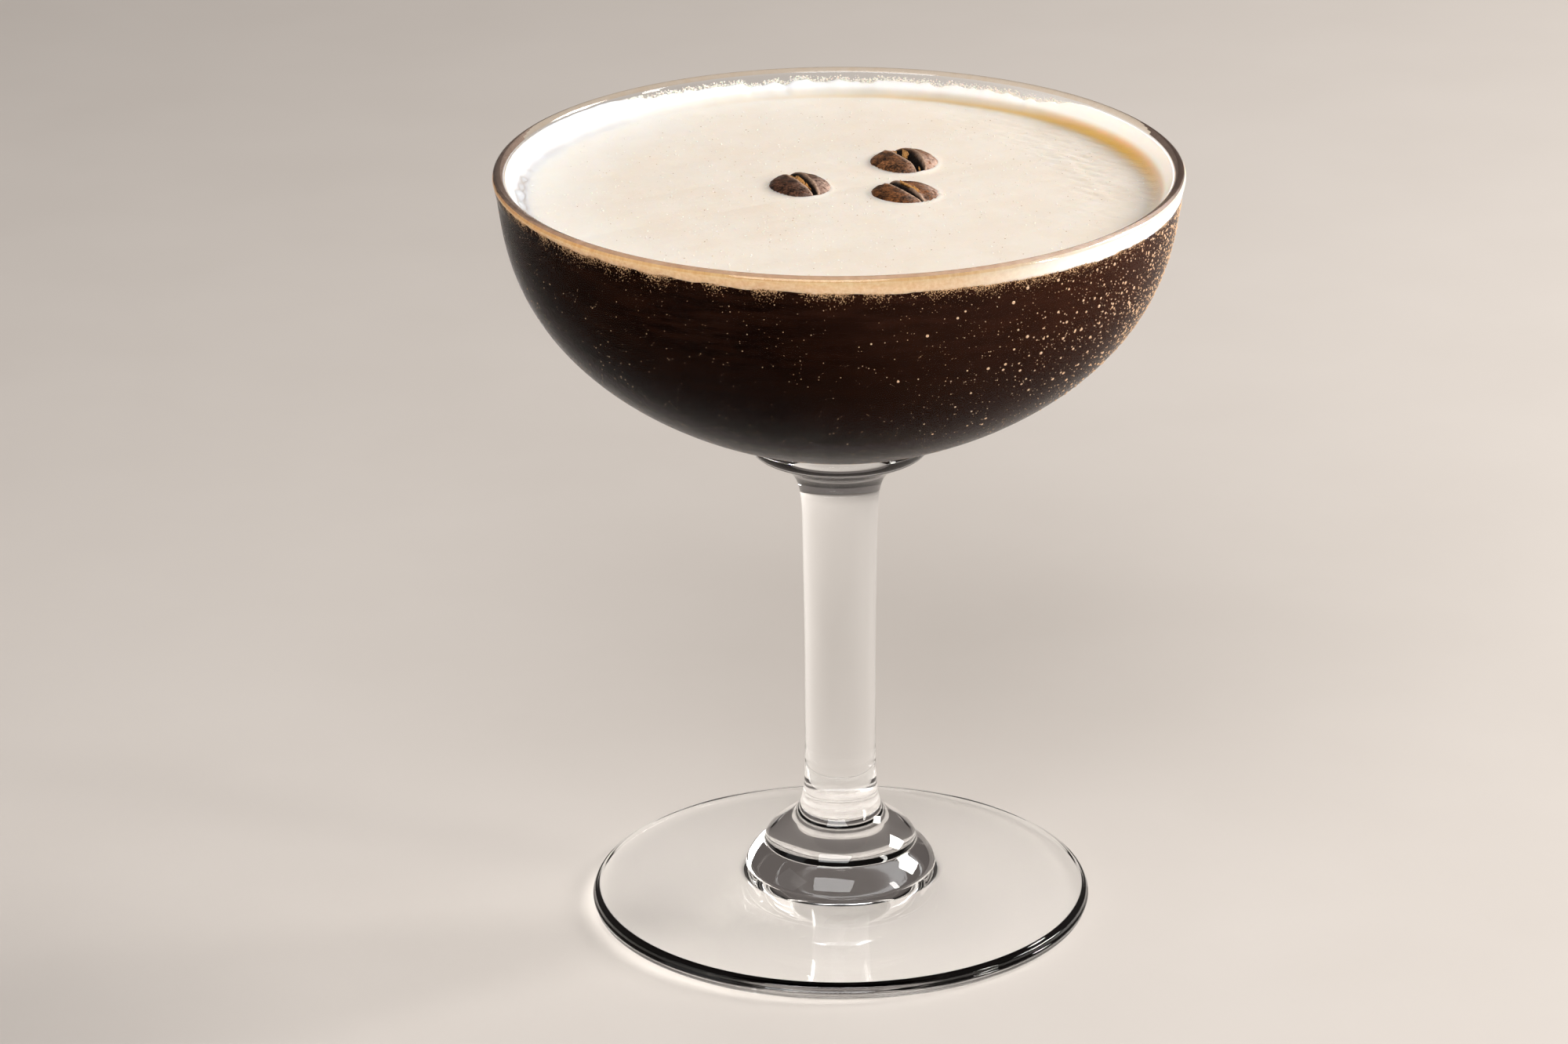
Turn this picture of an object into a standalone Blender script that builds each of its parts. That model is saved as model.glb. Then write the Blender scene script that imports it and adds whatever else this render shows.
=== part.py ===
"""A coffee cocktail under foam in a footed coupe glass, with three coffee beans afloat.

Units are metres, +Z is up, and the origin is the middle of the foot's flat underside.
The glass is one solid of revolution, the drink and its foam are turned solids that
follow the inside of the bowl, and the beans lie in pockets cut for them.
"""

import math

import bmesh
import bpy
from mathutils import Matrix, Vector

MM = 0.001
SIDES = 48
CLEARANCE = 0.3 * MM

# Bowl: a superellipse hung from the rim, with a slight outward flare at the lip.
RIM_HEIGHT = 106.3 * MM
BOWL_RADIUS = 45.3 * MM
BOWL_DEPTH = 39.5 * MM
RADIAL_POWER = 1.606
DEPTH_POWER = 2.425
LIP_FLARE = 1.0 * MM
LIP_FLARE_FADE = 2.3 * MM
WALL = 1.6 * MM
LIP_RADIUS = WALL / 2
HOLLOW_RADIUS = BOWL_RADIUS - WALL
HOLLOW_DEPTH = 36.8 * MM

# Button under the bowl, where the bowl meets the stem.
BUTTON_CREASE_RADIUS = 11.9 * MM
BUTTON_EDGE_CENTRE = (10.9 * MM, 67.6 * MM)
BUTTON_EDGE_RADIUS = 1.4 * MM
BUTTON_EDGE_ANGLES = (48.0, -70.0)

# Stem: a solid rod with a slight taper and a flare at both ends.
STEM_TOP_RADIUS = 5.1 * MM
STEM_LOW_RADIUS = 4.85 * MM
TAPER_TOP = 58.0 * MM
TAPER_LOW = 35.0 * MM
TOP_FLARE_HEIGHTS = (65.7 * MM, 58.5 * MM)
TOP_FLARE_MIDDLE = 64.5 * MM
TOP_FLARE_SIZE = 2.8 * MM
TOP_FLARE_FADE = 1.9 * MM
LOW_FLARE_HEIGHTS = (19.0 * MM, 13.0 * MM)
LOW_FLARE_SIZE = 1.62 * MM
LOW_FLARE_FADE = 2.0 * MM

# Knob on the foot: two rounded tiers, each given as (top z, low z, top r, low r).
UPPER_TIER = (13.0 * MM, 9.2 * MM, 6.6 * MM, 10.5 * MM)
LOWER_TIER = (9.0 * MM, 5.6 * MM, 10.7 * MM, 13.1 * MM)
TIER_POWER = 1.6

# Foot: a thin disc that rises gently to the knob, with a rounded edge.
FOOT_RADIUS = 34.3 * MM
FOOT_EDGE_RADIUS = 1.3 * MM
FOOT_RISE_START = (13.8 * MM, 5.2 * MM)
FOOT_RISE_POWER = 1.2

# Drink: coffee up to a thin layer of foam, whose edge climbs the wall of the bowl.
DRINK_RADIUS = HOLLOW_RADIUS - CLEARANCE
DRINK_DEPTH = HOLLOW_DEPTH - CLEARANCE
FOAM_LEVEL = 103.0 * MM
FOAM_THICKNESS = 0.9 * MM
FLAT_RADIUS = 40.6 * MM
EDGE_LIFT = 0.8 * MM
FILLET_FOOT_RADIUS = 41.5 * MM
FILLET_TOP = 105.0 * MM
FILLET_BACK = 0.4 * MM
RAGGED_WAVES = ((3, 0.10 * MM, 0.4), (7, 0.08 * MM, 1.9), (13, 0.06 * MM, 3.1))

# Beans: seam side up, half sunk. Turn is the seam's angle from +X, in degrees, and crown
# is how far the bean stands out of the foam.
BEANS = (
    {"name": "bean_1", "x": -5.2 * MM, "y": 1.3 * MM, "turn": 110.0,
     "length": 9.5 * MM, "width": 8.0 * MM, "crown": 1.45 * MM},
    {"name": "bean_2", "x": 8.75 * MM, "y": 11.7 * MM, "turn": 107.0,
     "length": 9.8 * MM, "width": 9.0 * MM, "crown": 1.5 * MM},
    {"name": "bean_3", "x": 8.75 * MM, "y": -1.8 * MM, "turn": 123.0,
     "length": 9.4 * MM, "width": 8.8 * MM, "crown": 1.1 * MM},
)
BEAN_DRAUGHT = 3.2 * MM
BEAN_FLATNESS = 0.8
BEAN_SIDES = 20
BEAN_RINGS = 12
SEAM_DEPTH = 0.9 * MM
SEAM_HALF_ANGLE = math.radians(5.0)
SEAM_SWAY = 0.3 * MM
SEAM_RUN = 1.6
ANGLE_CROWDING = 0.35


def clear_scene():
    """Remove whatever the scene holds."""
    for thing in list(bpy.data.objects):
        bpy.data.objects.remove(thing, do_unlink=True)


def material(name, colour, roughness, transmission=0.0):
    """A plain surface of one colour; transmission above 0 makes it glass."""
    made = bpy.data.materials.new(name)
    made.use_nodes = True
    shader = made.node_tree.nodes["Principled BSDF"]
    shader.inputs["Base Color"].default_value = (*colour, 1.0)
    shader.inputs["Roughness"].default_value = roughness
    shader.inputs["Metallic"].default_value = 0.0
    shader.inputs["Transmission Weight"].default_value = transmission
    made.diffuse_color = (*colour, 1.0)
    return made


def add_object(name, bm, finish):
    """Turn a bmesh into a named, smooth shaded object."""
    mesh = bpy.data.meshes.new(name)
    bm.to_mesh(mesh)
    bm.free()
    mesh.shade_smooth()
    mesh.set_sharp_from_angle(angle=math.radians(40.0))
    mesh.materials.append(finish)
    made = bpy.data.objects.new(name, mesh)
    bpy.context.scene.collection.objects.link(made)
    return made


def turned(outline):
    """Spin an outline of (radius, height) points that starts and ends on the Z axis."""
    bm = bmesh.new()
    points = [bm.verts.new((radius, 0.0, height)) for radius, height in outline]
    for first, second in zip(points, points[1:]):
        bm.edges.new((first, second))
    bmesh.ops.spin(bm, geom=bm.verts[:] + bm.edges[:], cent=(0, 0, 0), axis=(0, 0, 1),
                   angle=math.tau, steps=SIDES, use_duplicate=False)
    bmesh.ops.remove_doubles(bm, verts=bm.verts[:], dist=0.001 * MM)
    bmesh.ops.recalc_face_normals(bm, faces=bm.faces[:])
    return bm


def spread(start, end, steps):
    """Evenly spaced values from start to end, both included."""
    return [start + (end - start) * step / steps for step in range(steps + 1)]


def lip_flare(height):
    """How far the wall stands out beyond the superellipse near the rim."""
    return LIP_FLARE * math.exp((height - RIM_HEIGHT) / LIP_FLARE_FADE)


def bowl_radius(radius, depth, height):
    """Radius of a bowl surface at a height."""
    drop = (RIM_HEIGHT - height) / depth
    return radius * (1 - drop ** DEPTH_POWER) ** (1 / RADIAL_POWER) + lip_flare(height)


def bowl_side(radius, depth, top, end_radius, steps):
    """Points down a bowl surface, from a height to an end radius."""
    first = math.asin(((RIM_HEIGHT - top) / depth) ** (DEPTH_POWER / 2))
    last = math.acos((end_radius / radius) ** (RADIAL_POWER / 2))
    points = []
    for angle in spread(first, last, steps):
        height = RIM_HEIGHT - depth * math.sin(angle) ** (2 / DEPTH_POWER)
        across = radius * max(math.cos(angle), 0.0) ** (2 / RADIAL_POWER)
        points.append((across + lip_flare(height) * (across > 0.001 * MM), height))
    return points


def arc(centre, radius, start, end, steps):
    """Points on a circular arc, angles in degrees from the outward direction."""
    points = []
    for angle in spread(math.radians(start), math.radians(end), steps):
        across = centre[0] + radius * math.cos(angle)
        height = centre[1] + radius * math.sin(angle)
        points.append((across, height))
    return points


def stem_radius(height):
    """Radius of the tapered rod, without its flares."""
    part = min(max((height - TAPER_LOW) / (TAPER_TOP - TAPER_LOW), 0.0), 1.0)
    return STEM_LOW_RADIUS + (STEM_TOP_RADIUS - STEM_LOW_RADIUS) * part * part * (3 - 2 * part)


def stem_outline():
    """Points down the stem from the button to the knob."""
    points = []
    for height in spread(*TOP_FLARE_HEIGHTS, 5):
        flare = TOP_FLARE_SIZE * math.exp((height - TOP_FLARE_MIDDLE) / TOP_FLARE_FADE)
        points.append((stem_radius(height) + flare, height))
    for height in spread(50.0 * MM, 28.0 * MM, 3):
        points.append((stem_radius(height), height))
    low_end = LOW_FLARE_HEIGHTS[1]
    for height in spread(*LOW_FLARE_HEIGHTS, 4)[:-1]:
        flare = LOW_FLARE_SIZE * math.exp((low_end - height) / LOW_FLARE_FADE)
        points.append((stem_radius(height) + flare, height))
    return points


def tier_outline(top, low, top_radius, low_radius):
    """Points down one rounded tier of the knob."""
    points = []
    for part in spread(1.0, 0.0, 4):
        across = top_radius + (low_radius - top_radius) * (1 - part ** TIER_POWER)
        points.append((across, low + (top - low) * part))
    return points


def foot_outline():
    """Points from the knob over the foot and its edge to the flat underside."""
    edge_centre = (FOOT_RADIUS - FOOT_EDGE_RADIUS, FOOT_EDGE_RADIUS)
    start_radius, start_height = FOOT_RISE_START
    low_height = 2 * FOOT_EDGE_RADIUS
    points = []
    for part in spread(1.0, 0.0, 4)[:-1]:
        across = edge_centre[0] + (start_radius - edge_centre[0]) * part
        points.append((across, low_height + (start_height - low_height) * part ** FOOT_RISE_POWER))
    points += arc(edge_centre, FOOT_EDGE_RADIUS, 90.0, -90.0, 6)
    return points


def glass_outline():
    """The whole glass, from the middle of the hollow over the lip and down to the foot."""
    lip_height = RIM_HEIGHT - LIP_RADIUS
    inside = bowl_side(HOLLOW_RADIUS, HOLLOW_DEPTH, lip_height, 0.0, 11)[::-1]
    outside = bowl_side(BOWL_RADIUS, BOWL_DEPTH, lip_height, BUTTON_CREASE_RADIUS, 13)
    lip_centre = ((inside[-1][0] + outside[0][0]) / 2, lip_height)
    lip = arc(lip_centre, LIP_RADIUS, 180.0, 0.0, 6)[1:-1]
    button = arc(BUTTON_EDGE_CENTRE, BUTTON_EDGE_RADIUS, *BUTTON_EDGE_ANGLES, 4)
    knob = tier_outline(*UPPER_TIER) + tier_outline(*LOWER_TIER)
    return inside + lip + outside + button + stem_outline() + knob + foot_outline() + [(0.0, 0.0)]


def coffee_outline():
    """The coffee, from its middle below the foam to the bottom of the hollow."""
    level = FOAM_LEVEL - FOAM_THICKNESS - CLEARANCE
    side = bowl_side(DRINK_RADIUS, DRINK_DEPTH, level + EDGE_LIFT, 0.0, 11)
    return [(0.0, level), (FLAT_RADIUS, level)] + side


def foam_outline():
    """The foam, from its underside over the feathered edge to the middle of its top."""
    underside = FOAM_LEVEL - FOAM_THICKNESS
    points = [(0.0, underside), (FLAT_RADIUS, underside)]
    for height in spread(underside + EDGE_LIFT, FILLET_TOP, 3):
        points.append((bowl_radius(DRINK_RADIUS, DRINK_DEPTH, height), height))
    top_radius = points[-1][0] - FILLET_BACK
    for part in spread(0.0, 1.0, 4):
        across = top_radius + (FILLET_FOOT_RADIUS - top_radius) * part
        points.append((across, FOAM_LEVEL + (FILLET_TOP - FOAM_LEVEL) * (1 - part) ** 2))
    return points + [(FLAT_RADIUS / 2, FOAM_LEVEL), (0.0, FOAM_LEVEL)]


def roughen_edge(bm):
    """Give the foam's upper edge on the wall an uneven height."""
    for vert in bm.verts:
        if vert.co.z > FILLET_TOP - 0.01 * MM:
            turn = math.atan2(vert.co.y, vert.co.x)
            vert.co.z += sum(size * math.sin(count * turn + phase)
                             for count, size, phase in RAGGED_WAVES)


def bean_point(direction, bean, grow, seam_depth):
    """Where a point of the unit sphere lies on a bean that lies along X, seam up."""
    along = direction.x
    ring = math.sqrt(max(1.0 - along * along, 0.0))
    turn = math.atan2(direction.y, direction.z)
    turn *= (abs(turn) / math.pi) ** ANGLE_CROWDING
    across = ring * math.sin(turn) * (bean["width"] / 2 + grow)
    lift = ring * math.cos(turn)
    if lift > 0:
        height = lift ** BEAN_FLATNESS * (bean["crown"] + grow)
    else:
        height = lift * (BEAN_DRAUGHT + grow)
    if abs(turn) < SEAM_HALF_ANGLE and seam_depth > 0:
        height -= seam_depth * min(ring * SEAM_RUN, 1.0)
        across += SEAM_SWAY * math.sin(math.pi * along)
    return Vector((along * (bean["length"] / 2 + grow), across, height))


def bean_mesh(bean, grow, seam_depth):
    """A bean from a sphere whose poles lie at the bean's two ends."""
    bm = bmesh.new()
    stand_to_lie = Matrix.Rotation(math.radians(90.0), 4, "Y")
    bmesh.ops.create_uvsphere(bm, u_segments=BEAN_SIDES, v_segments=BEAN_RINGS, radius=1.0,
                              matrix=stand_to_lie)
    for vert in bm.verts:
        vert.co = bean_point(vert.co.normalized(), bean, grow, seam_depth)
    bmesh.ops.recalc_face_normals(bm, faces=bm.faces[:])
    return bm


def place_bean(bean, finish):
    """Float a bean at its place on the foam."""
    made = add_object(bean["name"], bean_mesh(bean, 0.0, SEAM_DEPTH), finish)
    made.location = (bean["x"], bean["y"], FOAM_LEVEL)
    made.rotation_euler = (0.0, 0.0, math.radians(bean["turn"]))
    return made


def bean_room(floating, bean, finish):
    """A cutter for a bean's pocket: the bean without its seam, grown by the clearance."""
    cutter = add_object(bean["name"] + "_room", bean_mesh(bean, CLEARANCE, 0.0), finish)
    cutter.matrix_basis = floating.matrix_basis
    cutter.hide_render = True
    cutter.display_type = "WIRE"
    return cutter


def cut_pocket(solid, cutter):
    """Cut a bean's pocket into the foam or the coffee."""
    cut = solid.modifiers.new("pocket_" + cutter.name, "BOOLEAN")
    cut.operation = "DIFFERENCE"
    cut.solver = "EXACT"
    cut.object = cutter


def main():
    clear_scene()
    glass_finish = material("clear_glass", (0.95, 0.96, 0.96), 0.03, transmission=1.0)
    coffee_finish = material("dark_coffee", (0.030, 0.011, 0.006), 0.12)
    foam_finish = material("cream_foam", (0.80, 0.66, 0.49), 0.55)
    bean_finish = material("roasted_bean", (0.075, 0.032, 0.018), 0.42)
    add_object("coupe_glass", turned(glass_outline()), glass_finish)
    coffee = add_object("coffee", turned(coffee_outline()), coffee_finish)
    foam_body = turned(foam_outline())
    roughen_edge(foam_body)
    foam = add_object("foam", foam_body, foam_finish)
    for bean in BEANS:
        cutter = bean_room(place_bean(bean, bean_finish), bean, bean_finish)
        cut_pocket(foam, cutter)
        cut_pocket(coffee, cutter)


main()
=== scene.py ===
"""Looks of a coffee cocktail under foam in a footed coupe glass, with three beans afloat.

Lengths are in metres. Heights are above the surface the glass stands on, and azimuths
are turns about the glass's axis from +X (the camera's right) towards +Y (away from it).
"""

import math
from itertools import product

import bpy
import numpy as np
from mathutils import Matrix, Vector


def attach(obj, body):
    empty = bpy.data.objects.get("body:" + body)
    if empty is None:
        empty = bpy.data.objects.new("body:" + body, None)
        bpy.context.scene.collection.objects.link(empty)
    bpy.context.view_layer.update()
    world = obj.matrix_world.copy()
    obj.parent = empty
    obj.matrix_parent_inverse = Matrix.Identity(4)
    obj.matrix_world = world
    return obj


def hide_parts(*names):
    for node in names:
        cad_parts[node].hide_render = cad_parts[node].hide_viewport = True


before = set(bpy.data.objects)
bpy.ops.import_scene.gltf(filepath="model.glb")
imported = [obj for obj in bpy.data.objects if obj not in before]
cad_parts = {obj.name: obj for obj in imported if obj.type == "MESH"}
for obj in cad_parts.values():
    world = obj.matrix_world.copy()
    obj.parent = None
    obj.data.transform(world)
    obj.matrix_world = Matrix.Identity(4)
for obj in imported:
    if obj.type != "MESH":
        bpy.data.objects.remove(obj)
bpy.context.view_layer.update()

MM = 0.001
SEED = 20

# Bowl: a superellipse hung from the rim, with a slight outward flare at the lip.
RIM_HEIGHT = 106.3 * MM
BOWL_RADIUS = 45.3 * MM
BOWL_DEPTH = 39.5 * MM
RADIAL_POWER = 1.606
DEPTH_POWER = 2.425
LIP_FLARE = 1.0 * MM
LIP_FLARE_FADE = 2.3 * MM
WALL = 1.6 * MM
LIP_RADIUS = WALL / 2
HOLLOW_RADIUS = BOWL_RADIUS - WALL
HOLLOW_DEPTH = 36.8 * MM

# Button under the bowl, where the bowl meets the stem.
BUTTON_CREASE_RADIUS = 11.9 * MM
BUTTON_EDGE_CENTRE = (10.9 * MM, 67.6 * MM)
BUTTON_EDGE_RADIUS = 1.4 * MM
BUTTON_EDGE_ANGLES = (48.0, -70.0)

# Stem: a solid rod with a slight taper and a flare at both ends.
STEM_TOP_RADIUS = 5.1 * MM
STEM_LOW_RADIUS = 4.85 * MM
TAPER_TOP = 58.0 * MM
TAPER_LOW = 35.0 * MM
STEM_HEIGHTS = (65.7 * MM, 13.0 * MM)
TOP_FLARE_MIDDLE = 64.5 * MM
TOP_FLARE_SIZE = 2.8 * MM
TOP_FLARE_FADE = 1.9 * MM
LOW_FLARE_SIZE = 1.62 * MM
LOW_FLARE_FADE = 2.0 * MM

# Knob on the foot: two rounded tiers, each given as (top z, low z, top r, low r).
UPPER_TIER = (13.0 * MM, 9.2 * MM, 6.6 * MM, 10.5 * MM)
LOWER_TIER = (9.0 * MM, 5.6 * MM, 10.7 * MM, 13.1 * MM)
TIER_POWER = 1.6

# Foot: a thin disc that rises gently to the knob, with fine lines pressed into its rounded
# edge. Its underside is slightly hollow, which lets the ground show clearly through it.
FOOT_RADIUS = 34.3 * MM
FOOT_EDGE_RADIUS = 1.3 * MM
FOOT_LINES = 9
FOOT_LINE_DEPTH = 0.06
FOOT_RISE_START = (13.8 * MM, 5.2 * MM)
FOOT_RISE_POWER = 1.2
HOLLOW_REACH = 32.0 * MM
HOLLOW_RISE = 1.4 * MM

# Drink and foam.
FOAM_LEVEL = 103.0 * MM
INTO_WALL = 0.05 * MM
FOAM_BAND_LOW = 103.4 * MM
FILLET_FOOT_RADIUS = 41.3 * MM
FILLET_TOP = 105.0 * MM
RIPPLE_LEAN = -42.0
FILLET_EDGE_GAP = 0.25 * MM
FOAM_THICKNESS = 0.9 * MM
COFFEE_DROP = 0.95 * MM

# Beans: seam side up, half sunk. Turn is the seam's angle from +X, in degrees, and crown is
# how far the bean stands out of the foam, times lobes on the seam's left and right. Seam,
# slant, half and deep are the trench's place across the bean, how far it leans off the
# bean's length, its half width and its depth. Each strip of chaff is (start, end, place across
# from the seam in mm, half width in mm, depth under the crown in mm), ends from -1 to 1.
BEANS = (
    {"name": "bean_1", "x": -5.2 * MM, "y": 1.3 * MM, "turn": 110.0,
     "length": 9.5 * MM, "width": 8.0 * MM, "crown": 1.35 * MM, "lobes": (0.78, 1.02),
     "seam": -0.45 * MM, "slant": 0.35 * MM, "half": 0.72 * MM, "deep": 0.85 * MM,
     "roast": (0.049, 0.0212, 0.0121),
     "chaff": ((-0.72, 0.80, 0.42, 0.10, 0.24), (-0.60, 0.55, 0.02, 0.09, 0.44))},
    {"name": "bean_2", "x": 8.75 * MM, "y": 11.7 * MM, "turn": 107.0,
     "length": 9.8 * MM, "width": 9.0 * MM, "crown": 1.45 * MM, "lobes": (0.72, 1.05),
     "seam": -0.75 * MM, "slant": 0.60 * MM, "half": 1.05 * MM, "deep": 1.25 * MM,
     "roast": (0.115, 0.047, 0.0184),
     "chaff": ((0.10, 0.44, -0.05, 0.32, 0.50), (0.60, 0.86, 0.40, 0.17, 0.32),
               (-0.80, -0.62, -0.10, 0.18, 0.70))},
    {"name": "bean_3", "x": 8.75 * MM, "y": -1.8 * MM, "turn": 123.0,
     "length": 9.4 * MM, "width": 8.8 * MM, "crown": 1.10 * MM, "lobes": (0.72, 1.02),
     "seam": 0.05 * MM, "slant": -0.25 * MM, "half": 0.52 * MM, "deep": 0.95 * MM,
     "roast": (0.100, 0.037, 0.0120),
     "chaff": ((-0.55, 0.50, -0.62, 0.11, -0.02), (-0.50, -0.12, -0.95, 0.17, -0.03))},
)
BEAN_DRAUGHT = 3.2 * MM
LOBE_POWERS = (0.40, 0.62)
RIGHT_LOBE_TILT = 0.22

# Mesh detail: sides of the turned pieces, and a bean's rings and sides.
GLASS_SIDES = 200
FOAM_SIDES = 700
BEAN_RINGS = 100
BEAN_SIDES = 168

# Where the glass's materials change: the misted outside, the lip's two lower ends, and the
# radius from which the lip is clear all round. Round the back it is clear over this many
# degrees to each side, at its inner and its outer row. The lip's brown sides, painted
# refraction of the dark coffee seen through it, are (azimuth, reach).
MIST_TOP = 104.8 * MM
MIST_LOW = 69.0 * MM
LIP_INNER_LOW = 105.75 * MM
LIP_OUTER_LOW = 105.7 * MM
LIP_CLEAR_RADIUS = 45.72 * MM
LIP_CLEAR_BACK = (72.0, 58.0)
RIGHT_PAINTED_REFRACTION = (8.0, 36.0)
LEFT_PAINTED_REFRACTION = (178.0, 30.0)

# How many places are tried for each small thing and, where two are given, the most kept.
DEW = (60000, 7000)
DROPS = (16000, 3000)
FROTH = (14000, 4000)
FRINGE = (60000, 7000)
BUBBLES = 2600
SPECKS = 420

# Refraction. The mist's is low, which keeps the pale ground's reflection off the dark bowl.
GLASS_IOR = 1.5
WATER_IOR = 1.333
MIST_IOR = 1.07
FOAM_IOR = 1.35
BEAN_IOR = 1.38

# Colours in linear light. Of a pair, noise blends the first into the second.
GLASS_TINT = (0.985, 0.99, 0.99)
MIST_TINT = (0.97, 0.97, 0.97)
# Painted refraction on the lip: the drink seen through it, tan in front and brown at the sides.
TAN_PAINTED_REFRACTION = ((0.50, 0.335, 0.25), (0.64, 0.47, 0.37))
BROWN_PAINTED_REFRACTION = ((0.075, 0.045, 0.034), (0.125, 0.08, 0.062))
GOLDEN_LIP = ((0.84, 0.60, 0.36), (0.98, 0.88, 0.74))
# Painted glints: the beads' golden white colour stands for light catching them.
BEAD_PAINTED_GLINT_TONES = ((0.90, 0.50, 0.24), (1.0, 0.78, 0.56))
# The coffee's pair is blended by painted light, lighter towards the right, and by streaks.
COFFEE_TONES = ((0.0034, 0.0011, 0.0006), (0.052, 0.0185, 0.0100))
FOAM_TONES = ((0.845, 0.740, 0.645), (0.825, 0.700, 0.590))
FOAM_FLECK = (0.55, 0.34, 0.17)
# Pale froth up the wall, and painted light where the key light falls on the foam's left and on the band's
# right.
FOAM_PALE_AND_PAINTED_LIGHT = (0.97, 0.95, 0.92)
# Painted shade: the fillet at the wall's foot on the right, turned from the key light, painted golden.
FOAM_GOLDEN_PAINTED_SHADE = (1.0, 0.54, 0.14)
# Painted shade: the foam band seen through the glass, tan on the front and left, which are turned from the
# key light.
BAND_PAINTED_SHADE_TONES = ((0.61, 0.41, 0.24), (0.71, 0.53, 0.35))
FROTH_TONES = ((0.93, 0.89, 0.82), (0.84, 0.75, 0.63))
FRINGE_TONES = ((0.20, 0.10, 0.04), (0.72, 0.46, 0.24))
DUST_TONES = ((0.30, 0.16, 0.07), (0.55, 0.36, 0.19))
# Painted highlight: pinkish light on bean skin that faces the key light.
SKIN_PAINTED_HIGHLIGHT = (0.64, 0.44, 0.35)
SEAM_LIPS = (0.68, 0.46, 0.32)
# Painted shade: the seam's deep trench, painted near-black.
SEAM_PAINTED_SHADE = (0.004, 0.002, 0.0015)
CHAFF_TONES = ((0.22, 0.085, 0.022), (0.90, 0.47, 0.145))
FLOOR_TONES = ((0.59, 0.545, 0.505), (0.64, 0.595, 0.555))
ROOM_LIGHT = (0.125, 0.108, 0.10)

# Soft lights facing the bowl, as (name, place, size, watts, colour): a key from the right
# and behind, a broad one in front, a weak one from the left and a strip at the key's side.
LIGHTS_AIM = (0.0, 0.0, 90 * MM)
LIGHTS = (
    ("key", (0.80, 0.30, 0.50), (0.35, 0.35), 10.8, (1.0, 0.975, 0.94)),
    ("front", (-0.15, -0.75, 0.78), (0.8, 0.6), 8.5, (1.0, 1.0, 1.0)),
    ("fill", (-0.9, -0.3, 0.5), (0.6, 0.8), 0.6, (1.0, 1.0, 1.0)),
    ("side", (0.85, -0.32, 0.30), (0.12, 0.45), 2.6, (1.0, 0.97, 0.93)),
)

CAMERA_PLACE = (0.0, -0.7935, 0.36136)
CAMERA_PITCH = math.radians(21.063)
CAMERA_YAW = math.radians(-0.546)
CAMERA_ROLL = math.radians(-0.334)
CAMERA_LENS = 144.0


def smoothstep(low, high, value):
    """0 at low and before it, 1 at high and beyond it, and a smooth change between them."""
    part = np.clip((np.asarray(value, float) - low) / (high - low), 0.0, 1.0)
    return part * part * (3 - 2 * part)


def bump(middle, half_width, value):
    """A bell of height 1 round a middle."""
    return np.exp(-((np.asarray(value, float) - middle) / half_width) ** 2)


def grain(points, size, seed):
    """Smooth random values from -1 to 1 that change over a given size."""
    spot = np.asarray(points, float) / size
    cell = np.floor(spot)
    part = spot - cell
    part = part * part * (3 - 2 * part)
    total = np.zeros(len(spot))
    for corner in product((0, 1), repeat=3):
        key = (cell + corner) @ (127.1, 311.7, 74.7) + seed * 19.19
        value = np.modf(np.sin(key) * 43758.5453)[0]
        weight = np.where(corner, part, 1 - part).prod(axis=1)
        total += weight * value
    return total


def layered(points, size, seed, layers=3):
    """Grain with finer grain on top of it."""
    total = sum(grain(points, size / 2 ** layer, seed + layer) / 2 ** layer
                for layer in range(layers))
    return total / 1.5


def turn_gap(azimuths, middle):
    """Signed turn in degrees from a middle azimuth, between -180 and 180."""
    return (np.degrees(azimuths) - middle + 180.0) % 360.0 - 180.0


def near_turn(azimuths, middle, reach):
    """A bell of height 1 round a middle azimuth, the middle and reach in degrees."""
    return bump(0.0, reach, turn_gap(azimuths, middle))


def even_turns(sides):
    """Azimuths of the sides of a turned piece."""
    return np.arange(sides) * math.tau / sides


def around(radius, turn, height):
    """Points at a radius, azimuth and height."""
    return np.stack([radius * np.cos(turn), radius * np.sin(turn), height], axis=-1)


def new_object(name, verts, faces, finishes, finish_of_face=None):
    """A smooth shaded mesh object at the origin."""
    mesh = bpy.data.meshes.new(name)
    mesh.from_pydata(np.asarray(verts).tolist(), [], faces)
    for finish in finishes:
        mesh.materials.append(finish)
    if finish_of_face is not None:
        mesh.polygons.foreach_set("material_index", finish_of_face)
    mesh.shade_smooth()
    mesh.update()
    made = bpy.data.objects.new(name, mesh)
    bpy.context.scene.collection.objects.link(made)
    return made


def add_mask(piece, name, values):
    """Store one number per vertex, which the piece's material reads."""
    layer = piece.data.attributes.new(name, "FLOAT", "POINT")
    layer.data.foreach_set("value", np.asarray(values, dtype=np.float32))


def ring_faces(rings, sides):
    """Quads between neighbouring rings of a turned shape, the rings going outward then down."""
    faces = []
    for ring in range(rings - 1):
        low = ring * sides
        high = low + sides
        for side in range(sides):
            after = (side + 1) % sides
            faces.append((low + side, high + side, high + after, low + after))
    return faces


def capped_faces(rings, sides):
    """Faces of a row of rings, its ends closed by fans round the two points after the rings."""
    faces = ring_faces(rings, sides)
    first, last = rings * sides, rings * sides + 1
    low = (rings - 1) * sides
    faces += [(first, side, (side + 1) % sides) for side in range(sides)]
    faces += [(last, low + (side + 1) % sides, low + side) for side in range(sides)]
    return faces


def closed_rings(radii, heights):
    """Mesh of rings of points, closed by a fan at each end. Rows are rings, columns are sides."""
    rings, sides = radii.shape
    verts = around(radii, even_turns(sides), heights).reshape(-1, 3)
    first = (0.0, 0.0, heights[0].mean())
    last = (0.0, 0.0, heights[-1].mean())
    return np.vstack([verts, first, last]), capped_faces(rings, sides)


def lip_flare(height):
    """How far the wall stands out beyond the superellipse near the rim."""
    return LIP_FLARE * np.exp((height - RIM_HEIGHT) / LIP_FLARE_FADE)


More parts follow.
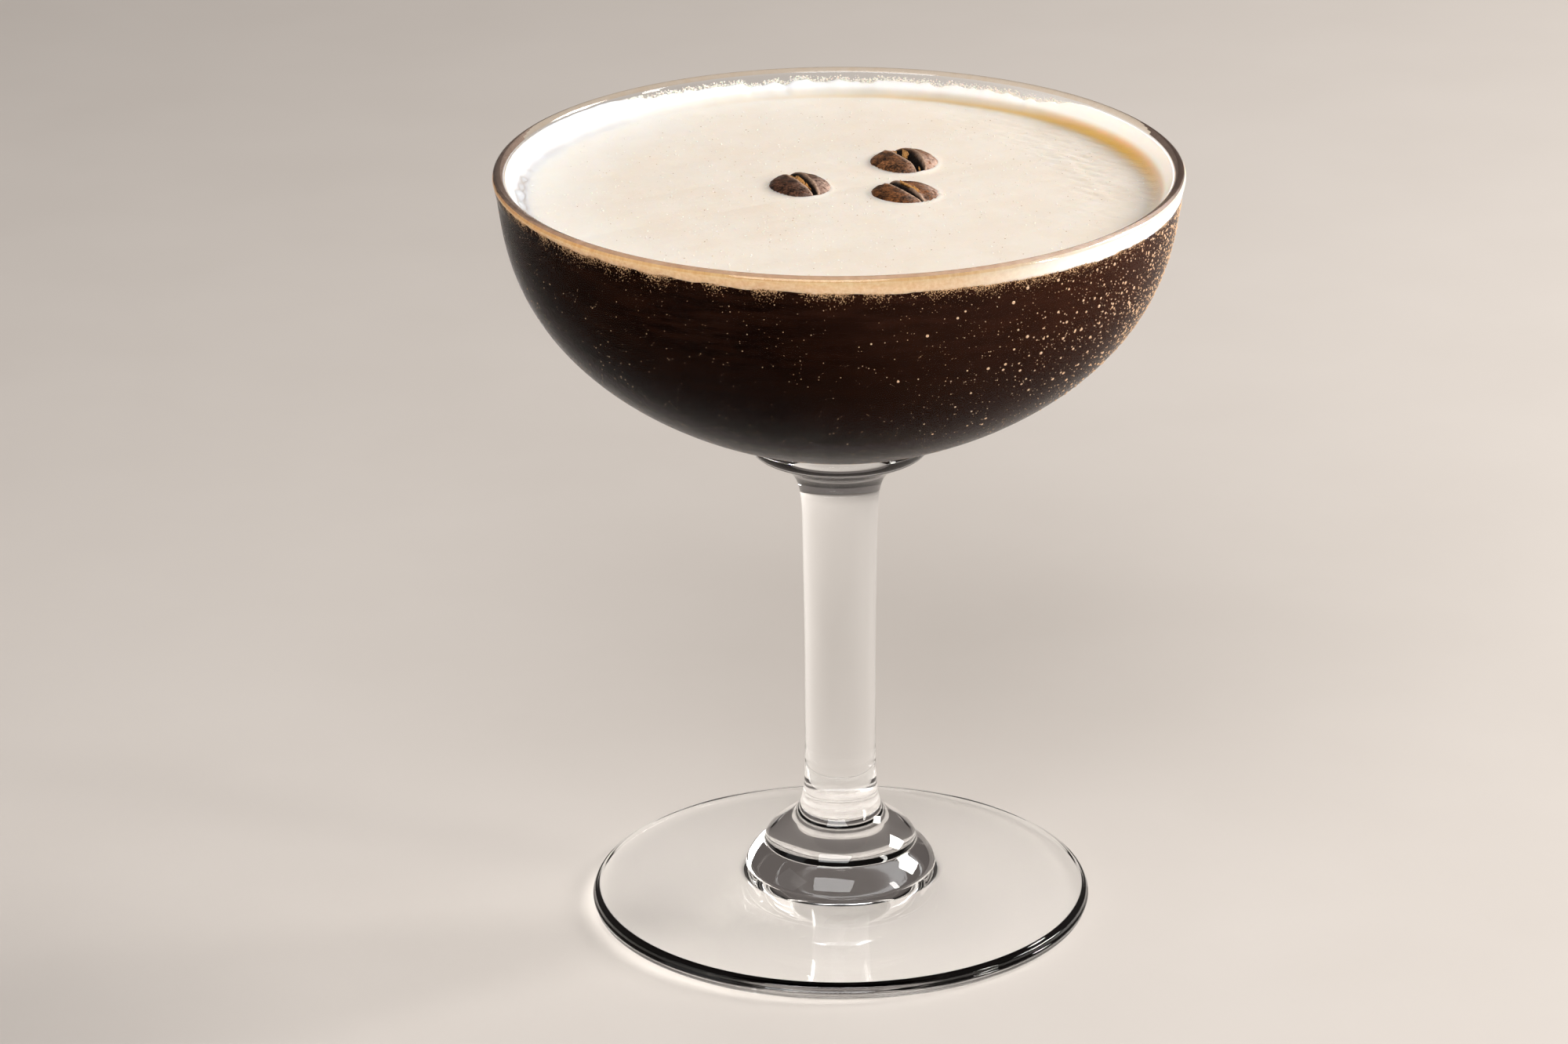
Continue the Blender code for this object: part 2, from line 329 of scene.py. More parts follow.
def bowl_radius(radius, depth, height):
    """Radius of a bowl surface at a height."""
    drop = np.clip((RIM_HEIGHT - height) / depth, 0.0, 1.0)
    return radius * (1 - drop ** DEPTH_POWER) ** (1 / RADIAL_POWER) + lip_flare(height)


def bowl_side(radius, depth, top, end_radius, steps):
    """Points (radius, height) down a bowl surface, from a height to an end radius."""
    first = math.asin(((RIM_HEIGHT - top) / depth) ** (DEPTH_POWER / 2))
    last = math.acos((end_radius / radius) ** (RADIAL_POWER / 2))
    angles = np.linspace(first, last, steps)
    heights = RIM_HEIGHT - depth * np.sin(angles) ** (2 / DEPTH_POWER)
    across = radius * np.clip(np.cos(angles), 0.0, 1.0) ** (2 / RADIAL_POWER)
    return np.stack([across + lip_flare(heights), heights], axis=1)


def arc(centre, radius, start, end, steps):
    """Points on a circular arc, angles in degrees from the outward direction."""
    angles = np.radians(np.linspace(start, end, steps))
    across = centre[0] + radius * np.cos(angles)
    return np.stack([across, centre[1] + radius * np.sin(angles)], axis=1)


def stem_outline(steps):
    """Points down the stem from the button to the knob."""
    heights = np.linspace(*STEM_HEIGHTS, steps)
    taper = smoothstep(TAPER_LOW, TAPER_TOP, heights)
    radii = STEM_LOW_RADIUS + (STEM_TOP_RADIUS - STEM_LOW_RADIUS) * taper
    radii = radii + TOP_FLARE_SIZE * np.exp((heights - TOP_FLARE_MIDDLE) / TOP_FLARE_FADE)
    radii = radii + LOW_FLARE_SIZE * np.exp((STEM_HEIGHTS[1] - heights) / LOW_FLARE_FADE)
    return np.stack([radii, heights], axis=1)


def tier_outline(top, low, top_radius, low_radius, steps):
    """Points down one rounded tier of the knob."""
    part = np.linspace(1.0, 0.0, steps)
    radii = top_radius + (low_radius - top_radius) * (1 - part ** TIER_POWER)
    return np.stack([radii, low + (top - low) * part], axis=1)


def foot_outline():
    """Points from the knob over the foot and its edge to the slightly hollow underside."""
    edge_radius = FOOT_RADIUS - FOOT_EDGE_RADIUS
    start_radius, start_height = FOOT_RISE_START
    low_height = 2 * FOOT_EDGE_RADIUS
    part = np.linspace(1.0, 0.0, 30)[:-1]
    radii = edge_radius + (start_radius - edge_radius) * part
    heights = low_height + (start_height - low_height) * part ** FOOT_RISE_POWER
    top = np.stack([radii, heights], axis=1)
    angles = np.radians(np.linspace(90.0, -90.0, 44))
    lines = (np.cos(FOOT_LINES * angles) - 1) * np.cos(angles)
    reach = FOOT_EDGE_RADIUS * (1 + FOOT_LINE_DEPTH * lines)
    across = edge_radius + reach * np.cos(angles)
    edge = np.stack([across, FOOT_EDGE_RADIUS + reach * np.sin(angles)], axis=1)
    part = np.linspace(1.0, 0.02, 24)
    under = np.stack([HOLLOW_REACH * part, HOLLOW_RISE * (1 - part ** 2)], axis=1)
    return np.vstack([top, edge, under])


def glass_outline():
    """The whole glass, from the bottom of the hollow over the lip and down to the foot."""
    lip_height = RIM_HEIGHT - LIP_RADIUS
    inside = bowl_side(HOLLOW_RADIUS, HOLLOW_DEPTH, lip_height, 0.5 * MM, 50)[::-1]
    outside = bowl_side(BOWL_RADIUS, BOWL_DEPTH, lip_height, BUTTON_CREASE_RADIUS, 56)
    lip_centre = ((inside[-1][0] + outside[0][0]) / 2, lip_height)
    lip = arc(lip_centre, LIP_RADIUS, 180.0, 0.0, 14)[1:-1]
    button = arc(BUTTON_EDGE_CENTRE, BUTTON_EDGE_RADIUS, *BUTTON_EDGE_ANGLES, 14)
    knob = [tier_outline(*tier, 14) for tier in (UPPER_TIER, LOWER_TIER)]
    return np.vstack([inside, lip, outside, button, stem_outline(70)[1:-1], *knob, foot_outline()])


def feed(tree, socket, value):
    """Link an input to another node's output, or set it to a value."""
    if isinstance(value, bpy.types.NodeSocket):
        tree.links.new(value, socket)
    elif socket.type == "RGBA":
        socket.default_value = (*value, 1.0)
    else:
        socket.default_value = value


def add_node(tree, kind, inputs=None, **settings):
    """A shader node with its settings and inputs, which are values or other nodes' outputs."""
    made = tree.nodes.new(kind)
    for name, value in settings.items():
        setattr(made, name, value)
    for name, value in (inputs or {}).items():
        feed(tree, made.inputs[name], value)
    return made


def new_material(name):
    """A material with only its output node, and the object's own coordinates."""
    made = bpy.data.materials.new(name)
    made.use_nodes = True
    tree = made.node_tree
    tree.nodes.clear()
    output = tree.nodes.new("ShaderNodeOutputMaterial")
    place = tree.nodes.new("ShaderNodeTexCoord").outputs["Object"]
    return made, tree, output, place


def noise(tree, place, scale, detail=2.0, roughness=0.5):
    """Noise texture factor, the scale in features per metre."""
    made = add_node(tree, "ShaderNodeTexNoise",
                    {"Vector": place, "Scale": scale, "Detail": detail, "Roughness": roughness})
    return made.outputs["Fac"]


def math_node(tree, operation, first, second):
    """One arithmetic step."""
    made = add_node(tree, "ShaderNodeMath", operation=operation)
    feed(tree, made.inputs[0], first)
    feed(tree, made.inputs[1], second)
    return made.outputs[0]


def times(tree, first, second):
    """Product of two values."""
    return math_node(tree, "MULTIPLY", first, second)


def plus(tree, first, second):
    """Sum of two values."""
    return math_node(tree, "ADD", first, second)


def stretched(tree, place, by):
    """Place scaled along each axis. Noise that reads it is longest where the scale is least."""
    return add_node(tree, "ShaderNodeVectorMath", {0: place, 1: by}, operation="MULTIPLY").outputs[0]


def remap(tree, value, low, high, new_low, new_high):
    """Map a value from one range to another, clamped."""
    made = add_node(tree, "ShaderNodeMapRange", {"Value": value, "From Min": low, "From Max": high,
                                                 "To Min": new_low, "To Max": new_high})
    return made.outputs["Result"]


def mix_colour(tree, factor, first, second):
    """Blend two colours, each a value or a node's output."""
    inputs = {"Factor": factor, 6: first, 7: second}
    return add_node(tree, "ShaderNodeMix", inputs, data_type="RGBA").outputs[2]


def read_mask(tree, name):
    """The number that add_mask stored on the mesh."""
    return add_node(tree, "ShaderNodeAttribute", attribute_name=name).outputs["Fac"]


def bump_normal(tree, height, strength, distance):
    """Surface normal from a height factor, the distance in metres."""
    made = add_node(tree, "ShaderNodeBump", {"Height": height, "Strength": strength, "Distance": distance})
    return made.outputs["Normal"]


def surface(tree, output, inputs):
    """Join a principled shader with these inputs to the material's output."""
    shader = add_node(tree, "ShaderNodeBsdfPrincipled", inputs)
    tree.links.new(shader.outputs[0], output.inputs["Surface"])


def clear_surface(tree, output, share, inputs):
    """The same for glass or water, where a share of each lamp's light passes straight through."""
    shader = add_node(tree, "ShaderNodeBsdfPrincipled", inputs)
    lamp_ray = tree.nodes.new("ShaderNodeLightPath").outputs["Is Shadow Ray"]
    clear = add_node(tree, "ShaderNodeBsdfTransparent", {"Color": (share, share, share)})
    both = add_node(tree, "ShaderNodeMixShader",
                    {0: lamp_ray, 1: shader.outputs[0], 2: clear.outputs[0]})
    tree.links.new(both.outputs[0], output.inputs["Surface"])


def clear_glass():
    """Polished glass with faint smears."""
    made, tree, output, place = new_material("clear_glass")
    smears = remap(tree, noise(tree, place, 90.0, 3.0), 0.45, 0.75, 0.0, 0.035)
    clear_surface(tree, output, 0.65, {"Base Color": GLASS_TINT, "Roughness": smears,
                                       "IOR": GLASS_IOR, "Transmission Weight": 1.0})
    return made


def lip_painted_refraction():
    """The rounded lip, coloured as painted refraction of the drink seen through it: dark brown at the sides,
    tan in front.
    """
    made, tree, output, place = new_material("lip_painted_refraction")
    streaks = remap(tree, noise(tree, place, 700.0, 3.0), 0.3, 0.7, 0.0, 1.0)
    tan = mix_colour(tree, streaks, *TAN_PAINTED_REFRACTION)
    brown = mix_colour(tree, streaks, *BROWN_PAINTED_REFRACTION)
    # Painted refraction: brown at the sides, where the mask is high, and tan in front.
    tone = mix_colour(tree, read_mask(tree, "brown_painted_refraction"), tan, brown)
    clear_surface(tree, output, 0.8, {"Base Color": tone, "Roughness": 0.12,
                                      "IOR": GLASS_IOR, "Transmission Weight": 0.5})
    return made


def clear_lip():
    """The lip at the back and on its outer side: clear, with a golden cast."""
    made, tree, output, place = new_material("clear_lip")
    tone = mix_colour(tree, noise(tree, place, 900.0, 3.0), *GOLDEN_LIP)
    clear_surface(tree, output, 0.9, {"Base Color": tone, "Roughness": 0.08,
                                      "IOR": GLASS_IOR, "Transmission Weight": 1.0})
    return made


def misted_glass():
    """Glass whose outside is fogged with fine condensation, fading out towards both edges."""
    made, tree, output, place = new_material("misted_glass")
    height = add_node(tree, "ShaderNodeSeparateXYZ", {"Vector": place}).outputs["Z"]
    low_edge = remap(tree, height, 69.2 * MM, 70.6 * MM, 0.0, 1.0)
    high_edge = remap(tree, height, 104.4 * MM, 103.2 * MM, 0.0, 1.0)
    patches = remap(tree, noise(tree, place, 420.0, 4.0, 0.65), 0.35, 0.65, 0.7, 1.0)
    misted = times(tree, low_edge, high_edge)
    fog = times(tree, misted, patches)
    leather = times(tree, noise(tree, place, 2600.0, 1.0, 0.4), misted)
    clear_surface(tree, output, 0.9,
                  {"Base Color": MIST_TINT, "IOR": MIST_IOR, "Transmission Weight": 1.0,
                   "Roughness": remap(tree, fog, 0.0, 1.0, 0.02, 0.26),
                   "Normal": bump_normal(tree, leather, 0.3, 0.08 * MM)})
    return made


def frost_beads():
    """Condensed water in beads, partly clear, with a golden white colour that stands for the lamps' glints
    on them: painted glints.
    """
    made, tree, output, place = new_material("condensation")
    painted_glint_mix = noise(tree, place, 2500.0)
    clear_surface(tree, output, 0.95,
                  {"Base Color": mix_colour(tree, painted_glint_mix, *BEAD_PAINTED_GLINT_TONES), "IOR": WATER_IOR,
                   "Roughness": remap(tree, painted_glint_mix, 0.3, 0.7, 0.08, 0.25),
                   "Transmission Weight": 0.3})
    return made


def coffee_finish():
    """Near-black coffee, painted lighter and warmer towards the key light on the right, and streaked just
    under the foam. Its shine is the glass's, so it has no reflection of its own."""
    made, tree, output, place = new_material("dark_coffee")
    parts = add_node(tree, "ShaderNodeSeparateXYZ", {"Vector": place})
    flattened = stretched(tree, place, (1.0, 1.0, 7.0))
    streaks = remap(tree, noise(tree, flattened, 130.0, 5.0, 0.7), 0.42, 0.7, 0.0, 1.0)
    near_foam = remap(tree, parts.outputs["Z"], 80.0 * MM, 103.0 * MM, 0.04, 0.24)
    # Painted light: the coffee grows lighter and warmer towards the key light on the right.
    painted_light = remap(tree, parts.outputs["X"], -8.0 * MM, 38.0 * MM, 0.015, 0.43)
    painted_light_plus_streaks = plus(tree, painted_light, times(tree, near_foam, streaks))
    surface(tree, output, {"Base Color": mix_colour(tree, painted_light_plus_streaks, *COFFEE_TONES),
                           "Roughness": 0.3, "Specular IOR Level": 0.0})
    return made


def foam_colour(tree, place):
    """Cream, finely speckled, paler by the wall where pale froth and painted light lie, golden with painted
    shade at its foot on the right, and tan with painted shade in the band.
    """
    mottle = remap(tree, noise(tree, place, 130.0, 5.0, 0.6), 0.4, 0.68, 0.0, 1.0)
    fine = remap(tree, noise(tree, place, 2400.0, 3.0, 0.65), 0.58, 0.72, 0.0, 0.22)
    patches = remap(tree, noise(tree, place, 170.0, 2.0), 0.42, 0.62, 0.1, 1.0)
    flecks = times(tree, times(tree, fine, patches), read_mask(tree, "speckle"))
    body = mix_colour(tree, flecks, mix_colour(tree, mottle, *FOAM_TONES), FOAM_FLECK)
    # Pale froth, with painted light on the left and on the band's right.
    body = mix_colour(tree, read_mask(tree, "pale"), body, FOAM_PALE_AND_PAINTED_LIGHT)
    # Golden painted shade in the fillet on the right.
    body = mix_colour(tree, read_mask(tree, "golden"), body, FOAM_GOLDEN_PAINTED_SHADE)
    # The band, tan with painted shade on its shaded side.
    tan_grain = remap(tree, noise(tree, place, 1700.0, 3.0, 0.6), 0.35, 0.65, 0.0, 1.0)
    tan = mix_colour(tree, tan_grain, *BAND_PAINTED_SHADE_TONES)
    return mix_colour(tree, read_mask(tree, "band"), body, tan)


def foam_finish():
    """Satin foam that light soaks into, finely grained, with ripples combed over its right."""
    made, tree, output, place = new_material("cream_foam")
    hairs = noise(tree, stretched(tree, place, (0.35, 1.0, 1.0)), 2400.0, 2.0, 0.6)
    combed = times(tree, hairs, read_mask(tree, "ripple"))
    grains = noise(tree, place, 2600.0, 3.0, 0.6)
    waves = noise(tree, place, 420.0, 3.0, 0.5)
    height = plus(tree, times(tree, grains, 0.3), times(tree, waves, 0.7))
    height = plus(tree, height, times(tree, combed, 5.0))
    surface(tree, output,
            {"Base Color": foam_colour(tree, place), "IOR": FOAM_IOR,
             "Roughness": remap(tree, grains, 0.3, 0.7, 0.42, 0.62),
             "Subsurface Weight": 0.5, "Subsurface Scale": 2.2 * MM,
             "Subsurface Radius": (1.0, 0.68, 0.42),
             "Normal": bump_normal(tree, height, 0.35, 0.12 * MM)})
    return made


def bubble_finish():
    """Pale froth of tiny bubbles."""
    made, tree, output, place = new_material("pale_froth")
    tone = mix_colour(tree, noise(tree, place, 1500.0), *FROTH_TONES)
    surface(tree, output, {"Base Color": tone, "Roughness": 0.3, "IOR": FOAM_IOR,
                           "Subsurface Weight": 0.25, "Subsurface Scale": 0.4 * MM})
    return made


def fringe_finish():
    """Tan bubbles in the coffee, darker than the band above them."""
    made, tree, output, place = new_material("tan_bubbles")
    tone = mix_colour(tree, noise(tree, place, 900.0, 3.0), *FRINGE_TONES)
    surface(tree, output, {"Base Color": tone, "Roughness": 0.5, "IOR": FOAM_IOR})
    return made


def speck_finish():
    """Coffee dust on the foam."""
    made, tree, output, place = new_material("coffee_dust")
    tone = mix_colour(tree, noise(tree, place, 2200.0), *DUST_TONES)
    surface(tree, output, {"Base Color": tone, "Roughness": 0.6})
    return made


def bean_finish(name, roast):
    """Roasted skin, finely wrinkled and grainy with dust, with a painted pinkish highlight by the seam and
    on the right lobe, pale lips and a seam painted near-black as shade.
    """
    made, tree, output, place = new_material(name)
    wrinkles = noise(tree, place, 1700.0, 4.0, 0.7)
    patches = remap(tree, noise(tree, place, 650.0, 3.0, 0.6), 0.40, 0.62, 0.0, 1.0)
    dust = remap(tree, noise(tree, place, 3800.0, 2.0, 0.6), 0.42, 0.62, 0.0, 1.0)
    darkest = tuple(part * 0.06 for part in roast)
    paler = tuple(min(part * 3.6, 1.0) for part in roast)
    skin = mix_colour(tree, patches, darkest, roast)
    grains = times(tree, dust, remap(tree, patches, 0.0, 1.0, 0.25, 0.85))
    skin = mix_colour(tree, grains, skin, paler)
    # Painted highlight: pinkish light where the key light falls, broken up by the wrinkles.
    painted_highlight = times(tree, read_mask(tree, "painted_highlight"), remap(tree, wrinkles, 0.38, 0.58, 0.05, 1.0))
    skin = mix_colour(tree, painted_highlight, skin, SKIN_PAINTED_HIGHLIGHT)
    lips = times(tree, read_mask(tree, "lips"), remap(tree, wrinkles, 0.3, 0.6, 0.35, 1.0))
    skin = mix_colour(tree, lips, skin, SEAM_LIPS)
    surface(tree, output,
            # The seam mask paints the trench near-black as shade.
            {"Base Color": mix_colour(tree, read_mask(tree, "seam"), skin, SEAM_PAINTED_SHADE),
             "Roughness": remap(tree, wrinkles, 0.3, 0.7, 0.36, 0.60), "IOR": BEAN_IOR,
             "Specular IOR Level": 0.2, "Coat Weight": 0.05, "Coat Roughness": 0.4,
             "Normal": bump_normal(tree, wrinkles, 1.0, 0.25 * MM)})
    return made


def chaff_finish():
    """Dry golden skin left in the seams."""
    made, tree, output, place = new_material("golden_chaff")
    fibres = noise(tree, place, 2400.0, 3.0, 0.7)
    tone = mix_colour(tree, remap(tree, fibres, 0.35, 0.65, 0.0, 1.0), *CHAFF_TONES)
    surface(tree, output, {"Base Color": tone, "Roughness": 0.5,
                           "Normal": bump_normal(tree, fibres, 0.6, 0.06 * MM)})
    return made


def glass_finishes(outline, sides, face_count):
    """Material of each face: 0 clear, 1 misted, 2 lip with painted refraction, 3 clear lip."""
    lip_row = int(np.argmax(outline[:, 1]))
    outside = outline[lip_row:, 1]
    top_row = lip_row + int(np.argmin(np.abs(outside - MIST_TOP)))
    crease_row = lip_row + int(np.argmin(np.abs(outside - MIST_LOW)))
    lip_low = int(np.argmax(outline[:, 1] > LIP_INNER_LOW))
    lip_high = lip_row + int(np.argmin(np.abs(outside - LIP_OUTER_LOW)))
    clear_reach = np.linspace(*LIP_CLEAR_BACK, lip_high - lip_low)[:, None]
    clear_side = outline[lip_low:lip_high, :1] > LIP_CLEAR_RADIUS
    clear = clear_side | (np.abs(turn_gap(even_turns(sides), 90.0)) < clear_reach)
    finish_of_face = np.zeros(face_count, dtype=np.int32)
    finish_of_face[top_row * sides:crease_row * sides] = 1
    finish_of_face[lip_low * sides:lip_high * sides] = np.where(clear, 3, 2).ravel()
    return finish_of_face


def make_glass():
    """The glass as one turned mesh, with its mist and its lip in materials of their own."""
    outline = glass_outline()
    radii = np.repeat(outline[:, :1], GLASS_SIDES, axis=1)
    heights = np.repeat(outline[:, 1:], GLASS_SIDES, axis=1)
    verts, faces = closed_rings(radii, heights)
    finishes = [clear_glass(), misted_glass(), lip_painted_refraction(), clear_lip()]
    finish_of_face = glass_finishes(outline, GLASS_SIDES, len(faces))
    glass = new_object("glass_body", verts, faces, finishes, finish_of_face)
    turns = np.arctan2(verts[:, 1], verts[:, 0])
    # Where the lip's painted refraction is brown: on the right and, fainter, on the left.
    brown_painted_refraction = near_turn(turns, *RIGHT_PAINTED_REFRACTION) + 0.6 * near_turn(turns, *LEFT_PAINTED_REFRACTION)
    add_mask(glass, "brown_painted_refraction", np.clip(brown_painted_refraction * 1.3, 0.0, 1.0))
    glass.data.set_sharp_from_angle(angle=math.radians(40.0))
    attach(glass, "root")
    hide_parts("coupe_glass")


def wall_spots(turns):
    """Points round the wall, at which its uneven edges read their grain."""
    return around(1.0, turns, np.zeros_like(turns)) * 44 * MM


def band_low(turns):
    """Lower edge of the foam where it shows through the wall, uneven round the glass."""
    wave = 0.9 * MM * near_turn(turns, -160.0, 60.0)
    wave = wave - 0.9 * MM * near_turn(turns, -5.0, 50.0)
    return FOAM_BAND_LOW + wave + layered(wall_spots(turns), 2.4 * MM, SEED) * 0.22 * MM


def bare_share(turns):
    """1 at the back, where the froth stops short of the lip, and 0 where it reaches it."""
    return 1 - smoothstep(36.0, 48.0, np.abs(turn_gap(turns, 88.0)))


def band_high(turns):
    """Upper edge of the froth on the wall, ragged where it stops short of the lip."""
    spots = wall_spots(turns)
    ragged = layered(spots, 1.5 * MM, SEED + 7, 3) * 0.5 * MM - 1.0 * MM
    fine = layered(spots, 0.9 * MM, SEED + 8, 2) * 0.05 * MM
    return 105.62 * MM + ragged * bare_share(turns) + fine


def inner_wall(heights):
    """Radius of the glass's inside, a little into the wall so that no gap shows."""
    return bowl_radius(HOLLOW_RADIUS, HOLLOW_DEPTH, heights) + INTO_WALL


def ripple_share(points):
    """Where fine ripples run over the foam: on the right, towards the wall."""
    radii = np.hypot(points[:, 0], points[:, 1])
    turns = np.arctan2(points[:, 1], points[:, 0])
    near_wall = smoothstep(27 * MM, 35 * MM, radii) * (1 - smoothstep(42 * MM, 43 * MM, radii))
    return near_turn(turns, 18.0, 34.0) * near_wall


def foam_top(radii, turns, high):
    """Height of the foam's upper side: uneven, rippled, raised round the beans and lowered
    under them."""
    edge = inner_wall(high) - FILLET_EDGE_GAP
    part = np.clip((radii - FILLET_FOOT_RADIUS) / (edge - FILLET_FOOT_RADIUS), 0.0, 1.0)
    heights = FOAM_LEVEL + (high - FOAM_LEVEL) * part ** 2.3
    spots = around(radii, turns, np.zeros_like(radii))
    flat = spots.reshape(-1, 3)
    swell = layered(flat, 9.0 * MM, SEED + 11) * 0.10 * MM
    swell = swell + layered(flat, 1.6 * MM, SEED + 12) * 0.03 * MM
    lean = math.radians(RIPPLE_LEAN)
    along = flat[:, 0] * math.cos(lean) + flat[:, 1] * math.sin(lean)
    across = flat[:, 1] * math.cos(lean) - flat[:, 0] * math.sin(lean)
    combed = np.stack([along * 0.3, across, np.zeros_like(along)], axis=1)
    streaks = layered(combed, 0.9 * MM, SEED + 13, 2) * 0.19 * MM
    heights = heights + (swell + streaks * ripple_share(flat)).reshape(radii.shape)
    for bean in BEANS:
        gap = bean_gap(spots[..., 0], spots[..., 1], bean)
        raised = np.exp(-np.clip(gap, 0.0, None) / (0.45 * MM)) * (gap > -0.2 * MM)
        heights = heights + 0.22 * MM * raised
        heights = heights - 0.8 * MM * smoothstep(0.3 * MM, 1.2 * MM, -gap)
    return heights


def bean_gap(x, y, bean):
    """Rough distance outside a bean's outline on the foam, negative inside it."""
    turn = math.radians(bean["turn"])
    along = (x - bean["x"]) * math.cos(turn) + (y - bean["y"]) * math.sin(turn)
    across = -(x - bean["x"]) * math.sin(turn) + (y - bean["y"]) * math.cos(turn)
    reach = np.hypot(along / (bean["length"] / 2), across / (bean["width"] / 2))
    return (reach - 1) * (bean["length"] + bean["width"]) / 4


def flat_foam_radii():
    """Radii of the rings of the foam's flat top, closest together round the beans."""
    inner = np.linspace(0.3, 3.6, 8)
    beans = np.linspace(4.0, 20.0, 48)
    beyond = np.linspace(20.8, 29.0, 11)
    outer = np.linspace(29.4, FILLET_FOOT_RADIUS / MM, 44)
    return np.concatenate([inner, beans, beyond, outer]) * MM


def make_foam(finish):
    """The foam as one closed mesh: flat top, fillet up the wall, the band by the glass."""
    sides = FOAM_SIDES
    turns = even_turns(sides)
    high = band_high(turns)
    low = band_low(turns)
    edge = inner_wall(high) - FILLET_EDGE_GAP
    flat_radii = flat_foam_radii()[:, None] * np.ones(sides)
    steps = np.linspace(0.0, 1.0, 15)[1:, None]
    fillet_radii = FILLET_FOOT_RADIUS + (edge - FILLET_FOOT_RADIUS) * steps
    top_radii = np.vstack([flat_radii, fillet_radii])
    rings = len(top_radii)
    top_heights = foam_top(top_radii, np.repeat(turns[None, :], rings, axis=0),
                           np.repeat(high[None, :], rings, axis=0))
    steps = np.linspace(0.0, 1.0, 10)[:, None]
    wall_heights = high + (low - high) * steps
    wall_radii = inner_wall(wall_heights)
    level = np.full(sides, FOAM_LEVEL - FOAM_THICKNESS)
    under_heights = np.vstack([low - 0.2 * MM, level, level])
    under_radii = np.vstack([wall_radii[-1] - 0.3 * MM, np.full(sides, 40.0 * MM),
                             np.full(sides, 2.0 * MM)])
    radii = np.vstack([top_radii, wall_radii, under_radii])
    heights = np.vstack([top_heights, wall_heights, under_heights])
    verts, faces = closed_rings(radii, heights)
    foam = new_object("foam_layer", verts, faces, [finish])
    on_wall = np.zeros(len(verts))
    on_wall[rings * sides:(rings + len(wall_heights)) * sides] = 1.0
    for name, values in foam_masks(verts, on_wall).items():
        add_mask(foam, name, values)
    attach(foam, "root")
    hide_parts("foam")


def foam_masks(verts, on_wall):
    """Where the foam is pale (pale froth and painted light), golden and tan (painted shade), rippled or
    speckled.
    """
    radii = np.hypot(verts[:, 0], verts[:, 1])
    heights = verts[:, 2]
    turns = np.arctan2(verts[:, 1], verts[:, 0])
    left = near_turn(turns, 165.0, 62.0)
    back = near_turn(turns, 60.0, 75.0)
    up_wall = smoothstep(103.5 * MM, 104.2 * MM, heights)
    # Pale: pale froth up the wall, stronger on the left and back, and painted light on the foam's left,
    # which faces the key light.
    pale = 0.35 * left * smoothstep(26 * MM, 40 * MM, radii) + np.clip(left + back + 0.5, 0, 1) * up_wall
    right_end = turn_gap(turns, 24.0)
    reach = np.where(right_end < 0, 24.0, 62.0)
    width = 0.65 * MM + 0.75 * MM * bump(0.0, 26.0, right_end)
    # Golden painted shade: the fillet at the wall's foot on the right, which faces away from the key light.
    golden = bump(0.0, 1.0, (radii - 42.0 * MM) / width) * np.exp(-(right_end / reach) ** 2)
    golden = golden * (heights > FOAM_LEVEL - 0.3 * MM)
    golden = golden * (1 - smoothstep(103.4 * MM, 104.3 * MM, heights))
    # The band is painted tan as shade from the left round the front to the front right, and pale as painted
    # light elsewhere.
    azimuth = turn_gap(turns, -105.0)
    shaded = smoothstep(-105.0, -85.0, azimuth) * (1 - smoothstep(26.0, 66.0, azimuth))
    off_wall = 1 - on_wall
    return {"pale": np.clip(pale, 0, 1) * off_wall + on_wall * (1 - shaded),
            "golden": np.clip(golden * off_wall, 0, 1),
            "band": on_wall * shaded,
            "speckle": (1 - smoothstep(26 * MM, 40 * MM, radii)) * off_wall,
            "ripple": ripple_share(verts) * off_wall}


def make_coffee():
    """The coffee, whose sides reach a little into the wall."""
    sides = GLASS_SIDES
    overlap = INTO_WALL * 0.6
    top = band_low(even_turns(sides)) + 0.15 * MM
    side = bowl_side(HOLLOW_RADIUS, HOLLOW_DEPTH, 102.0 * MM, 0.5 * MM, 44)
    side_radii = np.repeat(side[:, :1], sides, axis=1) + overlap
    side_heights = np.repeat(side[:, 1:], sides, axis=1)
    side_heights = side_heights - overlap * np.exp(-side_radii / (8 * MM))
    level = np.full(sides, FOAM_LEVEL - COFFEE_DROP)
    wall = bowl_radius(HOLLOW_RADIUS, HOLLOW_DEPTH, top) + overlap
    top_radii = np.vstack([np.full(sides, 2.0 * MM), np.full(sides, 41.2 * MM), wall - 0.9 * MM,
                           wall - 0.25 * MM, wall])
    top_heights = np.vstack([level, level, level + 0.2 * MM, top - 0.25 * MM, top])
    verts, faces = closed_rings(np.vstack([top_radii, side_radii]), np.vstack([top_heights, side_heights]))
    coffee = new_object("coffee_drink", verts, faces, [coffee_finish()])
    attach(coffee, "root")
    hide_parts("coffee")


def seam_centre(along, bean):
    """Sideways place of the seam along a bean, in metres. Along runs from -1 to 1."""
    return bean["seam"] * (1 - np.abs(along) ** 4) + bean["slant"] * along


def crown_at(along, across, bean):
    """Height of a bean's upper side above the foam, without its trench."""
    left, right = bean["lobes"]
    on_left = across > seam_centre(along, bean)
    lobe = np.where(on_left, left, right * (1 + RIGHT_LOBE_TILT * along))
    room = np.clip(1 - along ** 2 - (across / (bean["width"] / 2)) ** 2, 0.0, 1.0)
    return lobe * bean["crown"] * room ** np.where(on_left, *LOBE_POWERS)


